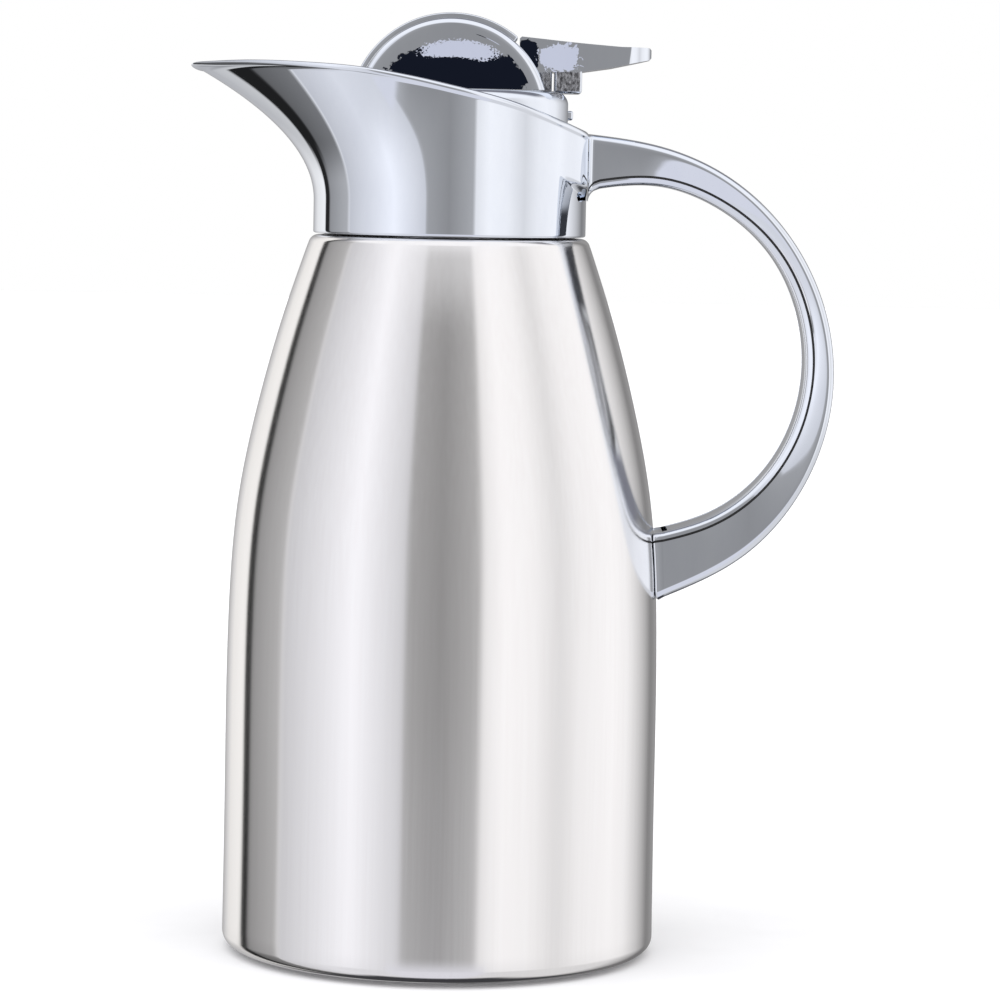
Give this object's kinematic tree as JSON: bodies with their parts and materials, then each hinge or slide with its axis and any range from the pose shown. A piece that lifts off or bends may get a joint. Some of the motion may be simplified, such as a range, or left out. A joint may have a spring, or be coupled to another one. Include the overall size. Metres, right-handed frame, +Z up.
{
  "type": "coffee pot",
  "caption": "Double-walled steel vacuum coffee pot with a beaked pouring head, bow handle and push-fit lid whose thumb lever opens a sprung pouring valve.",
  "frame": {"origin": "centre of the foot pad's underside, on the flask's axis", "axes": "+Z up along the flask's axis, +X towards the handle, -X towards the spout"},
  "size_m": [0.1921, 0.13, 0.281],
  "materials": {
    "shell_steel": "polished stainless steel with a faint vertical haze",
    "flask_steel": "electropolished stainless steel",
    "chrome": "mirror chrome plating",
    "black_plastic": "fine moulded texture",
    "silicone": "satin silicone",
    "fastener_steel": "plain turned steel"
  },
  "bodies": {
    "root": {"outer_shell": "shell_steel", "inner_flask": "flask_steel", "getter_capsule": "flask_steel", "base_plate": "shell_steel", "foot_pad": "silicone", "collar": "chrome", "neck_gasket": "silicone", "clamp_ring": "black_plastic", "mouth_gasket": "silicone", "pour_liner": "black_plastic", "handle_shell": "chrome", "handle_cover": "chrome", "handle_bracket": "fastener_steel", "handle_lower_screw": "fastener_steel", "handle_upper_screw_1": "fastener_steel", "handle_upper_screw_2": "fastener_steel"},
    "lid": {"lid_cap": "chrome", "dome_arch": "chrome", "dome_cheek_left": "chrome", "dome_cheek_right": "chrome", "lever_pin": "fastener_steel", "stopper_body": "black_plastic", "lid_floor": "black_plastic", "stopper_seal": "silicone", "lid_screw_1": "fastener_steel", "lid_screw_2": "fastener_steel", "lid_screw_3": "fastener_steel", "cheek_screw_1": "fastener_steel", "cheek_screw_2": "fastener_steel", "cheek_screw_3": "fastener_steel", "cheek_screw_4": "fastener_steel", "arch_screw": "fastener_steel", "valve_spring": "fastener_steel"},
    "lever": {"thumb_lever": "chrome"},
    "valve": {"push_frame": "chrome", "valve_stem": "fastener_steel", "valve_plug": "black_plastic", "valve_seal": "silicone", "valve_screw": "fastener_steel", "stem_screw": "fastener_steel"}
  },
  "joints": [
    {"name": "lid_lift", "type": "slide", "parent": "root", "child": "lid", "axis": [0, 0, 1], "range_m": [0, 0.08]},
    {"name": "lever_press", "type": "hinge", "parent": "lid", "child": "lever", "pos_m": [0.017, 0, 0.266], "axis": [0, 1, 0], "range_deg": [0, 9], "stiffness_Nm_per_rad": 0.28, "springref_deg": -16.04},
    {"name": "valve_push", "type": "slide", "parent": "lid", "child": "valve", "axis": [0, 0, -1], "range_m": [0, 0.0028], "deforming": ["valve_spring"]}
  ],
  "couplings": [
    {"joint": "valve_push", "follows": "lever_press", "m_per_rad": 0.0172}
  ]
}
